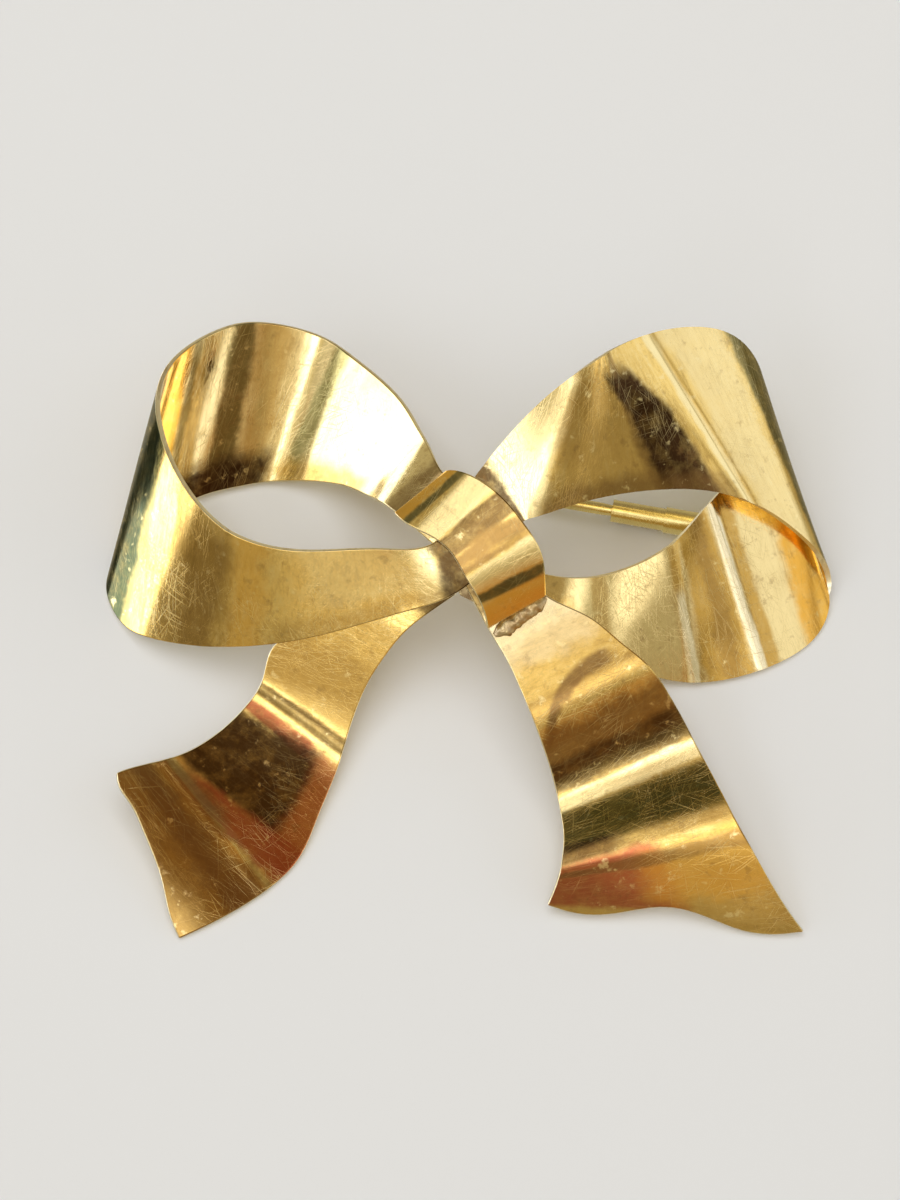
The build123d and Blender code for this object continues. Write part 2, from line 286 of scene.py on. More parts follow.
# The right loop's front: the bright bands are painted highlights, the green one a painted reflection of
# the room at the bend, the dark one by the knot painted shade under the band, and the deep, brown, dark
# and honey bands between partly tarnish and partly painted reflection
RIGHT_LOOP_TARNISH_AND_PAINTED_LIGHT = [
    Stain(7.0, 4.8, 2.2, 1.6, bright, 1.0),
    Stain(12.0, 12.2, 2.6, 2.0, deep, 0.6, low=0.1),
    Stain(14.2, 15.2, 0.2, 0.5, brown, 0.6),
    Stain(16.0, 17.0, 1.2, 0.9, dark, 1.0, low=0.14, bend=-3.0),
    Stain(22.0, 22.0, 0.5, 2.0, honey, 0.3),
    Stain(14.0, 14.0, 5.0, 3.0, brown, 0.7, low=0.88),
    Stain(19.5, 20.5, 0.3, 0.4, bright, 1.0),
    Stain(23.5, 24.0, 2.0, 1.4, bright, 0.6),
    Stain(29.0, 30.0, 2.0, 0.8, green, 0.8),
    Stain(2.9, 3.3, 0.7, 0.5, dark, 0.95),
]
# The right loop's inside, all painted light: the bright and pale bands are painted highlights, the amber
# one a painted reflection of the loop's own gold, the honey and brown ones painted reflections, and the
# dark one by the knot painted shade
RIGHT_INSIDE_PAINTED_LIGHT = [
    Stain(33.5, 33.5, 1.8, 1.2, amber, 0.95, low=0.42),
    Stain(37.6, 37.6, 0.8, 0.8, bright, 0.9),
    Stain(39.4, 39.4, 0.3, 0.5, honey, 0.9),
    Stain(40.35, 40.35, 0.25, 0.25, pale, 1.0),
    Stain(42.5, 42.5, 1.3, 0.6, honey, 0.95),
    Stain(42.2, 42.2, 0.2, 1.0, brown, 0.5),
    Stain(45.0, 45.0, 0.20, 0.25, pale, 1.0, low=0.35),
    Stain(45.0, 45.0, 0.30, 0.40, honey, 0.9, high=0.35),
    Stain(48.5, 48.5, 2.4, 1.2, bright, 0.5),
    Stain(52.0, 52.0, 0.3, 0.8, honey, 0.5),
    Stain(53.5, 53.8, 0.4, 0.5, bright, 1.0, high=0.6),
    Stain(62.0, 62.0, 2.2, 1.2, dark, 0.95),
    Stain(56.5, 56.0, 1.0, 1.2, honey, 0.6),
]
# The left tail: the dark band by the knot is painted shade under the band, the dark line at the crease
# painted shade, and the red, dark, deep and brown bands further on partly tarnish and partly painted
# reflection of the room
LEFT_TAIL_TARNISH_AND_PAINTED_LIGHT = [
    Stain(1.0, 1.0, 2.0, 1.0, dark, 0.9),
    Stain(12.0, 12.6, 1.6, 2.4, deep, 0.6),
    Stain(15.2, 15.8, 0.3, 0.4, dark, 0.7),
    Stain(16.9, 17.4, 0.4, 0.4, red, 0.95, high=0.75),
    Stain(20.8, 20.0, 2.7, 1.2, dark, 0.95, high=0.82),
    Stain(21.0, 21.0, 3.4, 1.0, red, 0.8, low=0.78),
    Stain(25.8, 23.8, 0.8, 0.8, red, 0.9, low=0.15),
    Stain(26.2, 26.2, 1.0, 1.0, brown, 0.8, high=0.5),
    Stain(29.4, 29.4, 3.0, 1.0, deep, 0.85),
    Stain(29.8, 29.8, 2.0, 1.4, brown, 0.45),
    Stain(28.2, 27.0, 0.4, 1.4, brown, 0.8),
]
# The right tail: the dark band by the knot is painted shade under the band, the pale and bright bands
# painted highlights, and the honey, deep, brown, dark, red and amber bands partly tarnish and partly
# painted reflection of the room
RIGHT_TAIL_TARNISH_AND_PAINTED_LIGHT = [
    Stain(1.5, 1.5, 3.0, 1.0, dark, 0.9),
    Stain(6.2, 6.3, 0.5, 0.8, brown, 0.7),
    Stain(7.6, 7.2, 2.0, 1.4, pale, 0.55),
    Stain(11.5, 10.8, 2.0, 1.5, honey, 0.35),
    Stain(13.4, 13.4, 0.5, 0.5, deep, 0.9),
    Stain(12.2, 12.2, 0.25, 0.5, brown, 0.9, low=0.06, high=0.85, bend=4.0),
    Stain(16.8, 16.8, 0.9, 1.4, brown, 0.8),
    Stain(18.7, 18.8, 0.8, 0.8, dark, 0.8),
    Stain(20.7, 20.7, 0.4, 0.4, bright, 0.9),
    Stain(25.4, 25.4, 0.9, 0.5, brown, 0.95, high=0.35),
    Stain(29.6, 29.0, 3.2, 0.8, deep, 0.6),
    Stain(28.8, 28.6, 2.4, 1.0, red, 0.95, high=0.55),
    Stain(29.6, 27.6, 1.2, 1.4, amber, 0.5, low=0.4),
    Stain(27.3, 26.6, 0.25, 0.4, brown, 0.7),
]
# The knot's band: the bright bands are painted highlights, and the amber, green, umber, deep and brown
# ones partly painted reflections of the room and partly tarnish
KNOT_BAND_TARNISH_AND_PAINTED_LIGHT = [
    Stain(0.3, 0.5, 0.3, 0.4, amber, 0.8),
    Stain(1.0, 1.5, 0.15, 0.25, green, 0.8),
    Stain(2.7, 2.9, 0.8, 0.4, bright, 0.8),
    Stain(4.7, 4.9, 0.8, 0.3, umber, 0.95),
    Stain(6.4, 6.6, 0.7, 0.5, deep, 0.95),
    Stain(6.1, 6.3, 0.3, 0.8, brown, 0.7),
    Stain(6.9, 7.3, 0.1, 0.4, brown, 0.7, high=0.7),
    Stain(8.1, 8.3, 0.6, 0.4, bright, 0.7),
    Stain(9.4, 9.7, 0.25, 0.3, green, 0.85),
    Stain(10.8, 10.8, 0.6, 0.4, amber, 0.8),
]


def lying(points):
    """Points of the bow's own plane, turned to the way the bow lies."""
    side, rise, toward = points[..., 0], points[..., 1], points[..., 2]
    tilt = radians(pitch)
    back = rise * cos(tilt) - toward * sin(tilt) + knot_back
    up = rise * sin(tilt) + toward * cos(tilt) + knot_height
    return np.stack([side + knot_side, back, up], axis=-1)


def rims(lines, sizes, start, end):
    """Both rims of a ribbon in the bow's plane, easing from one layer of the knot to another."""
    reach, height, depth = sizes
    share = np.arange(len(lines)) / (len(lines) - 1)
    level = start + (end - start) * share * share * (3 - 2 * share)
    side_a, rise_a, depth_a, side_b, rise_b, depth_b = np.array(lines).T
    first = np.stack([side_a * reach, rise_a * height, level - depth_a * depth], axis=1)
    second = np.stack([side_b * reach, rise_b * height, level - depth_b * depth], axis=1)
    return first, second


def spacing(first, second):
    """Distance along the ribbon at each line, the mean of both rims."""
    first_steps = np.linalg.norm(np.diff(first, axis=0), axis=1)
    second_steps = np.linalg.norm(np.diff(second, axis=0), axis=1)
    return np.concatenate([[0.0], np.cumsum((first_steps + second_steps) / 2)])


def end_slope(knots, points):
    """Slope at the first knot, of the cubic through the first four points."""
    powers = np.vander(knots[:4] - knots[0], 4, increasing=True)
    return np.linalg.solve(powers, points[:4])[1]


def smooth_curve(knots, points, at):
    """A cubic spline with even curvature through the points, read at many places."""
    count = len(knots)
    gap = np.diff(knots)
    matrix = np.zeros((count, count))
    right = np.zeros((count, 3))
    matrix[0, 0] = matrix[-1, -1] = 1
    right[0] = end_slope(knots, points)
    right[-1] = end_slope(knots[::-1], points[::-1])
    for i in range(1, count - 1):
        before, after = gap[i - 1], gap[i]
        matrix[i, i - 1 : i + 2] = after, 2 * (before + after), before
        rise_before = (points[i] - points[i - 1]) / before
        rise_after = (points[i + 1] - points[i]) / after
        right[i] = 3 * (after * rise_before + before * rise_after)
    slope = np.linalg.solve(matrix, right)
    i = np.clip(np.searchsorted(knots, at, side="right") - 1, 0, count - 2)
    width = gap[i][:, None]
    s = (at - knots[i])[:, None] / width
    value = points[i] * (1 + 2 * s) * (1 - s) ** 2 + points[i + 1] * s * s * (3 - 2 * s)
    return value + width * (slope[i] * s * (1 - s) ** 2 + slope[i + 1] * s * s * (s - 1))


def cut_places(first_at, second_at, length, cuts, across):
    """For each place across a tail, how far along it the cut end lies."""
    outline = np.array([(cut.side * tail_spread, cut.rise * tail_drop, 0.0) for cut in cuts])
    knots = spacing(outline, outline)
    curve = smooth_curve(knots, outline, np.linspace(0, knots[-1], cut_steps))[:, :2]
    along = np.linspace(search_from * length, length, search_steps)
    first, second = first_at(along), second_at(along)
    ends = []
    for share in across:
        line = (first * (1 - share) + second * share)[:, :2]
        gaps = np.linalg.norm(line[:, None] - curve[None], axis=2)
        nearest = np.unravel_index(gaps.argmin(), gaps.shape)[0]
        ends.append(along[nearest])
    return np.convolve(np.pad(ends, 1, mode="edge"), evening, mode="valid")


# The middle of a strip as rows and columns of points, how far along and across the strip each
# point lies, and the strip's mean width
Grid = namedtuple("Grid", "points along across width")


def strip_grid(lines, sizes, start, end, cuts=None):
    """The grid of a strip that runs between its two rims, up to its cut end if it has one."""
    first, second = rims(lines, sizes, start, end)
    knots = spacing(first, second)
    length = knots[-1]
    width = np.linalg.norm(second - first, axis=1).mean()
    rows = int(length / step_along) + 1
    columns = int(width / step_across) + 1
    across = np.linspace(0, 1, columns)

    def first_at(at):
        return smooth_curve(knots, first, at)

    def second_at(at):
        return smooth_curve(knots, second, at)

    ends = np.full(columns, length)
    if cuts:
        ends = cut_places(first_at, second_at, length, cuts, across)
    share = np.linspace(0, 1, rows)
    points = np.zeros((rows, columns, 3))
    along = np.zeros((rows, columns))
    for column, place in enumerate(across):
        # Rows near the knot stay where they are, and rows near the end follow the cut
        at = length * share - (length - ends[column]) * share**3
        points[:, column] = first_at(at) * (1 - place) + second_at(at) * place
        along[:, column] = at
    distance = np.broadcast_to(across * width, (rows, columns))
    return Grid(points, along, distance, width)


def outward(points):
    """The strip's normal at each point of its grid."""
    down = np.gradient(points, axis=0)
    over = np.gradient(points, axis=1)
    normal = np.cross(down, over)
    return normal / np.linalg.norm(normal, axis=-1, keepdims=True)


def away_from_knot(points):
    """Nought on the knot, where the layers lie close, and one a little way off."""
    reach = np.linalg.norm(points[..., :2], axis=-1)
    return np.clip((reach - wave_from) / wave_fade, 0, 1)


def waviness(points, seed):
    """Slow unevenness of hand-worked sheet, as a height at each point."""
    shift = Vector([seed * part for part in wave_shift])
    values = [noise.noise(Vector(point) / wave_size + shift) for point in points.reshape(-1, 3)]
    return wave_height * np.array(values).reshape(points.shape[:2]) * away_from_knot(points)


def pressed(grid, creases):
    """Height of the creases pressed along a strip's straight lines, at each point of its grid."""
    share = grid.across / grid.width
    height = np.zeros(grid.along.shape)
    for crease in creases:
        place = crease.place_a * (1 - share) + crease.place_b * share
        height += crease.height * np.exp(-(((grid.along - place) / crease.width) ** 2))
    return height


def strip_mesh(name, grid, relief, metals):
    """The middle of a strip as one layer of faces, its UVs in millimetres along and across."""
    points = grid.points + outward(grid.points) * relief[..., None]
    placed = lying(points) * MM
    rows, columns = placed.shape[:2]
    index = np.arange(rows * columns).reshape(rows, columns)
    corners = [index[:-1, :-1], index[:-1, 1:], index[1:, 1:], index[1:, :-1]]
    faces = np.stack(corners, axis=-1).reshape(-1, 4)
    mesh = bpy.data.meshes.new(name)
    mesh.from_pydata(placed.reshape(-1, 3).tolist(), [], faces.tolist())
    layer = mesh.uv_layers.new(name="strip")
    flat_uv = np.stack([grid.along, grid.across], axis=-1).reshape(-1, 2)
    loops = np.zeros(len(mesh.loops), dtype=np.int32)
    mesh.loops.foreach_get("vertex_index", loops)
    layer.data.foreach_set("uv", flat_uv[loops].ravel())
    mesh.polygons.foreach_set("use_smooth", [True] * len(mesh.polygons))
    for metal in metals:
        mesh.materials.append(metal)
    return mesh


def thicken(piece, thickness):
    """Gives a strip thickness and round rims, its second metal behind and its third on the rims."""
    solid = piece.modifiers.new("thickness", "SOLIDIFY")
    solid.thickness = thickness * MM
    solid.offset = 0
    solid.use_even_offset = True
    solid.material_offset = 1
    solid.material_offset_rim = 2
    rim = piece.modifiers.new("rim", "BEVEL")
    rim.width = rim_round * MM
    rim.segments = rim_segments
    rim.limit_method = "ANGLE"
    rim.angle_limit = radians(rim_angle)
    rim.harden_normals = True


# Sockets of a colour mix node
MIX_SHARE = 0
MIX_FIRST = 6
MIX_SECOND = 7
MIX_RESULT = 2

# The scale of a coordinate that is only turned
same_size = (1.0, 1.0, 1.0)


def opaque(colour):
    """A colour with full cover, as a node's socket takes it."""
    return colour + (1.0,)


class Nodes:
    """Adds nodes to one node tree and joins them. A value is a number, a colour or a socket."""

    def __init__(self, tree):
        self.tree = tree

    def add(self, kind, inputs=None, **settings):
        """A new node with these settings, and these values in its sockets."""
        node = self.tree.nodes.new(kind)
        for key, value in settings.items():
            setattr(node, key, value)
        for key, value in (inputs or {}).items():
            self.set(node, key, value)
        return node

    def set(self, node, key, value):
        """Joins a socket to another one, or gives it a fixed value."""
        if isinstance(value, bpy.types.NodeSocket):
            self.tree.links.new(value, node.inputs[key])
        else:
            node.inputs[key].default_value = value

    def noise(self, vector, scale, detail, roughness=0.5):
        """Noise between nought and one."""
        inputs = {"Vector": vector, "Scale": scale, "Detail": detail, "Roughness": roughness}
        return self.add("ShaderNodeTexNoise", inputs).outputs[0]

    def stretch(self, vector, scale, turn=0.0):
        """A coordinate scaled and then turned by degrees round its third axis."""
        inputs = {"Vector": vector, "Scale": scale, "Rotation": (0, 0, radians(turn))}
        return self.add("ShaderNodeMapping", inputs).outputs[0]

    def between(self, value, low, high, to_low=0.0, to_high=1.0):
        """The value, moved from one range to another and kept inside it."""
        inputs = {"Value": value, "From Min": low, "From Max": high, "To Min": to_low, "To Max": to_high}
        return self.add("ShaderNodeMapRange", inputs).outputs[0]

    def fade(self, value, low, high):
        """Nought at low and one at high, with soft ends."""
        node = self.add("ShaderNodeMapRange", {"Value": value}, interpolation_type="SMOOTHSTEP")
        turned = low > high
        self.set(node, "From Min", min(low, high))
        self.set(node, "From Max", max(low, high))
        self.set(node, "To Min", 1.0 if turned else 0.0)
        self.set(node, "To Max", 0.0 if turned else 1.0)
        return node.outputs[0]

    def math(self, operation, first, second=0.5, third=0.5):
        """A sum, product or the like of up to three values."""
        node = self.add("ShaderNodeMath", operation=operation)
        for index, value in enumerate((first, second, third)):
            self.set(node, index, value)
        return node.outputs[0]

    def mix(self, share, first, second):
        """A colour that goes from the first to the second as the share goes from nought to one."""
        node = self.add("ShaderNodeMix", data_type="RGBA")
        self.set(node, MIX_SHARE, share)
        self.set(node, MIX_FIRST, first)
        self.set(node, MIX_SECOND, second)
        return node.outputs[MIX_RESULT]


class Shader(Nodes):
    """A new material, with its nodes."""

    def __init__(self, name):
        self.material = bpy.data.materials.new(name)
        self.material.use_nodes = True
        super().__init__(self.material.node_tree)
        self.surface = self.tree.nodes["Principled BSDF"]

    def set_surface(self, values):
        """Gives these values to the sockets of the surface, by their names."""
        for key, value in values.items():
            self.set(self.surface, key, value)


# Fine scratches in several directions: how they turn, how many there are along and across a
# millimetre, and how strong the noise has to be for one to start. It is full a step higher
Scratch = namedtuple("Scratch", "turn along across least")
SCRATCHES = [
    Scratch(78.0, 0.26, 17.0, 0.70),
    Scratch(97.0, 0.30, 18.0, 0.71),
    Scratch(8.0, 0.30, 17.0, 0.73),
    Scratch(38.0, 0.34, 18.0, 0.73),
    Scratch(-48.0, 0.34, 18.0, 0.73),
    Scratch(62.0, 0.30, 19.0, 0.72),
]
scratch_step = 0.05

# Patterns of noise over the gold: how many lumps there are to a metre, how many finer steps they
# have, and how strong those are
Pattern = namedtuple("Pattern", "scale detail roughness")
PATTERNS = {
    "smudge": Pattern(260.0, 4.0, 0.6),
    "cloud": Pattern(90.0, 3.0, 0.5),
    "fleck": Pattern(1100.0, 3.0, 0.6),
    "grain": Pattern(1500.0, 3.0, 0.7),
    "speckle": Pattern(4500.0, 2.0, 0.6),
}

# Brushing runs across a ribbon: how many marks there are along and across a millimetre of it, how
# they turn, and their pattern
brushed_size = (1.7, 0.45, 1.0)
brushed_turn = 12.0
brushed_pattern = Pattern(1.0, 6.0, 0.75)

# Where the sheet is worn: the pattern, its range, and how worn it is at the range's two ends
worn_pattern = Pattern(170.0, 2.0, 0.5)
worn_range = (0.40, 0.66, 0.12, 1.0)

# Colour changes that follow a pattern: from which value of it to which they grow, the tint that
# they bring, and how strong they are for each unit of the finish's wear and tarnish
Wash = namedtuple("Wash", "pattern start full tint wear tarnish")
WASHES = [
    Wash("cloud", 0.40, 0.72, deep, 0.0, 1.0),
    Wash("smudge", 0.55, 0.80, deep, 0.0, 0.7),
    Wash("brushed", 0.50, 0.72, deep, 0.55, 0.0),
    Wash("brushed", 0.50, 0.28, bright, 0.40, 0.0),
]
FLECKS = [
    Wash("fleck", 0.60, 0.72, brown, 0.0, 0.5),
    Wash("fleck", 0.38, 0.28, bright, 0.0, 0.8),
]

# Speckles on worn places: how strong they are where wear and tarnish are one, and from which
# value of their pattern to which the dark and the bright ones grow
speckle_strength = 0.7
dark_speckle = (0.52, 0.72)
bright_speckle = (0.46, 0.28)

# How much rougher smudges, brushing and scratches make the gold, the last two for each unit of
# wear, and from which value of a pattern to which that grows
smudge_range = (0.35, 0.75)
smudge_rough = 0.10
brushed_range = (0.40, 0.70)
brushed_rough = 0.08
scratch_rough = 0.16

# How much scratches brighten the gold, and the relief of scratches and grain: the share of each,
# how strong it is for each unit of wear, and its height in metres
scratch_bright = 0.34
scratch_relief = -0.6
grain_relief = 0.4
relief_strength = 0.10
relief_height = 0.06 * MM

# The painted bands have wavering edges, by shares of their fade and of the ribbon's width, and are
# mottled.
# A band that ends within the width fades there over a share of it, and one that bends away near
# the first rim does so by a power of the share of the width that is left
edge_pattern = Pattern(300.0, 4.0, 0.65)
edge_range = (0.25, 0.75, -1.0, 1.0)
edge_along = 0.6
edge_across = 0.05
mottle_pattern = Pattern(800.0, 4.0, 0.7)
mottle_range = (0.30, 0.55, 0.80, 1.0)
limit_fade = 0.08
bend_power = 4.0


def hairlines(shader, strip):
    """Fine scratches, one where they lie and nought between them."""
    total = 0.0
    for scratch in SCRATCHES:
        size = (scratch.along, scratch.across, 1.0)
        turned = shader.stretch(strip, same_size, scratch.turn)
        strength = shader.noise(shader.stretch(turned, size), 1.0, 0.0)
        line = shader.between(strength, scratch.least, scratch.least + scratch_step)
        total = shader.math("MAXIMUM", total, line)
    return total


def painted_and_tarnished(shader, tint, strip, place, width, stains):
    """The tint with the bands of painted highlights, painted reflections, painted shade and tarnish laid
    over it, with uneven edges.
    """
    parts = shader.add("ShaderNodeSeparateXYZ", {0: strip}).outputs
    uneven = shader.between(shader.noise(place, *edge_pattern), *edge_range)
    across = shader.math("DIVIDE", parts[1], width)
    share = shader.math("MULTIPLY_ADD", uneven, edge_across, across)
    mottle = shader.between(shader.noise(place, *mottle_pattern), *mottle_range)
    for painted_band in stains:
        middle = shader.math("MULTIPLY_ADD", share, painted_band.place_b - painted_band.place_a, painted_band.place_a)
        if painted_band.bend:
            bent = shader.math("POWER", shader.math("SUBTRACT", 1.0, share), bend_power)
            middle = shader.math("MULTIPLY_ADD", bent, painted_band.bend, middle)
        away = shader.math("ABSOLUTE", shader.math("SUBTRACT", parts[0], middle))
        away = shader.math("MULTIPLY_ADD", uneven, edge_along * painted_band.soft, away)
        cover = shader.math("MULTIPLY", mottle, shader.fade(away, painted_band.half + painted_band.soft, painted_band.half))
        if painted_band.low > 0:
            inside = shader.fade(share, painted_band.low - limit_fade, painted_band.low + limit_fade)
            cover = shader.math("MULTIPLY", cover, inside)
        if painted_band.high < 1:
            inside = shader.fade(share, painted_band.high + limit_fade, painted_band.high - limit_fade)
            cover = shader.math("MULTIPLY", cover, inside)
        tint = shader.mix(shader.math("MULTIPLY", cover, painted_band.strength), tint, opaque(painted_band.tint))
    return tint


def washed(shader, tint, patterns, finish, washes):
    """The tint with colour changes laid over it that follow patterns."""
    for wash in washes:
        strength = wash.wear * finish.wear + wash.tarnish * finish.tarnish
        cover = shader.between(patterns[wash.pattern], wash.start, wash.full, 0.0, strength)
        tint = shader.mix(cover, tint, opaque(wash.tint))
    return tint


def speckled(shader, tint, patterns, finish, worn):
    """The tint with dark and bright speckles where the metal is worn."""
    strength = speckle_strength * finish.wear * finish.tarnish
    most = shader.math("MULTIPLY", worn, strength)
    for limits, colour in ((dark_speckle, deep), (bright_speckle, bright)):
        cover = shader.math("MULTIPLY", most, shader.between(patterns["speckle"], *limits))
        tint = shader.mix(cover, tint, opaque(colour))
    return tint


# How a metal is finished: its least roughness, how much wear and tarnish show, and its colour
Finish = namedtuple("Finish", "rough wear tarnish base", defaults=(yellow,))


def gold(name, finish, width=1.0, stains=()):
    """Polished yellow gold: fine scratches, soft smudges, and bands of painted highlights, painted
    reflections, painted shade and tarnish.
    """
    shader = Shader(name)
    place = shader.add("ShaderNodeTexCoord").outputs["Object"]
    if stains:
        strip = shader.add("ShaderNodeUVMap", uv_map="strip").outputs[0]
    else:
        strip = shader.stretch(place, (1 / MM, 1 / MM, 1 / MM))
    patterns = {key: shader.noise(place, *pattern) for key, pattern in PATTERNS.items()}
    brushing = shader.stretch(strip, brushed_size, brushed_turn)
    patterns["brushed"] = shader.noise(brushing, *brushed_pattern)
    worn = shader.between(shader.noise(place, *worn_pattern), *worn_range)
    lines = shader.math("MULTIPLY", hairlines(shader, strip), worn)

    tint = washed(shader, opaque(finish.base), patterns, finish, WASHES)
    tint = speckled(shader, tint, patterns, finish, worn)
    # Bands of painted highlights, painted reflections and painted shade, with some tarnish
    tint = painted_and_tarnished(shader, tint, strip, place, width, stains)
    tint = washed(shader, tint, patterns, finish, FLECKS)
    scratched = shader.math("MULTIPLY", lines, scratch_bright * finish.wear)
    tint = shader.mix(scratched, tint, opaque(bright))

    smudged = shader.between(patterns["smudge"], *smudge_range)
    brushed = shader.between(patterns["brushed"], *brushed_range)
    rough = shader.math("MULTIPLY_ADD", smudged, smudge_rough, finish.rough)
    rough = shader.math("MULTIPLY_ADD", brushed, brushed_rough * finish.wear, rough)
    rough = shader.math("MULTIPLY_ADD", lines, scratch_rough * finish.wear, rough)

    grain = shader.math("MULTIPLY", patterns["grain"], grain_relief)
    height = shader.math("MULTIPLY_ADD", lines, scratch_relief, grain)
    relief = {"Strength": relief_strength * finish.wear, "Distance": relief_height, "Height": height}
    bump = shader.add("ShaderNodeBump", relief).outputs[0]
    shader.set_surface({"Base Color": tint, "Roughness": rough, "Metallic": 1.0, "Normal": bump})
    return shader.material


# The strips of the bow, each between its two levels in the knot
left_loop_sizes = (left_reach, loop_height, loop_depth)
right_loop_sizes = (right_reach, loop_height, loop_depth)
tail_sizes = (tail_spread, tail_drop, tail_wave)
band_sizes = (band_length, band_length, band_arch)
left_loop = strip_grid(LEFT_LOOP, left_loop_sizes, front_level, middle_level)
right_loop = strip_grid(RIGHT_LOOP, right_loop_sizes, front_level, rear_level)
left_tail = strip_grid(LEFT_TAIL, tail_sizes, rear_level, rear_level, LEFT_END)
right_tail = strip_grid(RIGHT_TAIL, tail_sizes, middle_level, middle_level, RIGHT_END)
knot_band = strip_grid(KNOT_BAND, band_sizes, band_top, band_top)

left_loop_finish = Finish(0.07, 1.2, 0.60)
right_loop_finish = Finish(0.07, 1.2, 0.65)
tail_finish = Finish(0.09, 1.0, 0.60)
band_finish = Finish(0.07, 1.0, 0.50)
solder_finish = Finish(0.22, 1.2, 1.00, solder)
rim_metal = gold("rim_metal", Finish(0.30, 1.0, 0.10, pale))
back_metal = gold("back_metal", Finish(0.12, 1.0, 0.50))
fitting_metal = gold("fitting_metal", Finish(0.20, 0.6, 0.30, wire))

# What a ribbon is made of: the node that it stands for, its strip, thickness, slot and finish, its bands
# of painted highlights, reflections and shade with tarnish in front and of painted light inside, its
# creases, the seed of its unevenness, and whether other metal mirrors it. The left loop isn't mirrored,
# so that its own inside stays bright
Ribbon = namedtuple(
    "Ribbon",
    "node grid thickness slot finish stains inside creases seed mirrored",
    defaults=(None, (), 0, True),
)
RIBBONS = [
    Ribbon(
        "left_loop", left_loop, sheet, "loop_gold", left_loop_finish, LEFT_LOOP_TARNISH_AND_PAINTED_LIGHT,
        LEFT_INSIDE_PAINTED_LIGHT, LEFT_LOOP_CREASES, seed=1, mirrored=False,
    ),
    Ribbon(
        "right_loop", right_loop, sheet, "loop_gold", right_loop_finish, RIGHT_LOOP_TARNISH_AND_PAINTED_LIGHT,
        RIGHT_INSIDE_PAINTED_LIGHT, RIGHT_LOOP_CREASES, seed=2,
    ),
    Ribbon(
        "left_tail", left_tail, sheet, "tail_gold", tail_finish, LEFT_TAIL_TARNISH_AND_PAINTED_LIGHT,
        creases=LEFT_TAIL_CREASES, seed=3,
    ),
    Ribbon("right_tail", right_tail, sheet, "tail_gold", tail_finish, RIGHT_TAIL_TARNISH_AND_PAINTED_LIGHT, seed=4),
    Ribbon("knot_band", knot_band, band_sheet, "band_gold", band_finish, KNOT_BAND_TARNISH_AND_PAINTED_LIGHT),
]


def dress(ribbon):
    """Puts a sheet of gold, with its own metal in front, behind and on its rims, in a node's place."""
    name = ribbon.node + "_sheet"
    grid = ribbon.grid
    # The front metal carries the ribbon's bands of painted light and tarnish
    front = gold(ribbon.node + "_metal", ribbon.finish, grid.width, ribbon.stains)
    back = back_metal
    # The inside of a loop takes the paler gold, painted to look brighter, and its own bands of painted
    # light
    if ribbon.inside:
        painted_bright_inner_finish = ribbon.finish._replace(base=painted_bright_inner)
        back = gold(ribbon.node + "_painted_inside_metal", painted_bright_inner_finish, grid.width, ribbon.inside)
    # The faces look the other way from outward(), and the first metal is on the side that they
    # look to. The first quarter of a strip is its front, which looks up at the viewer
    quarter = len(grid.points) // 4
    looks_up = outward(grid.points)[:quarter, :, 2].mean() < 0
    metals = (front, back, rim_metal) if looks_up else (back, front, rim_metal)
    relief = waviness(grid.points, ribbon.seed) + pressed(grid, ribbon.creases)
    piece = bpy.data.objects.new(name, strip_mesh(name, grid, relief, metals))
    bpy.context.scene.collection.objects.link(piece)
    thicken(piece, ribbon.thickness)
    piece.visible_glossy = ribbon.mirrored
    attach(piece, "bow")
    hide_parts(ribbon.node)


for ribbon in RIBBONS:
    dress(ribbon)

# The solder where the band ends on the right tail, in millimetres: how far along the tail it lies,
# half its width, its height, and the column of the tail's grid that gives the direction there
seam_place = 6.5
seam_reach = 0.62
seam_height = 0.40
seam_column = 3

# The solder's shape: how many rings it has, with how many points each, how thin its ends are, how
# much they would grow over its whole length, how uneven it is, and how fast that changes along it
# and round it
seam_rings = 60
seam_points = 14
seam_end = 0.25
seam_growth = 4
seam_uneven = 0.35
seam_change_along = 0.16
seam_change_round = 1.2


def seam_ring(i, middle, up, over):
    """The points of one ring of the solder, round its middle there."""
    from_end = min(i, seam_rings - 1 - i)
    size = min(1.0, seam_growth * from_end / seam_rings + seam_end)
    ring = []
    for j in range(seam_points):
        turn = 2 * pi * j / seam_points
        change = (i * seam_change_along, seam_change_round * cos(turn), seam_change_round * sin(turn))
        uneven = 1.0 + seam_uneven * noise.noise(Vector(change))
        side = over * cos(turn) * seam_reach * size * uneven
        rise = up * sin(turn) * seam_height * size * uneven
        ring.append(middle + up * 0.5 * sheet + side + rise)
    return ring


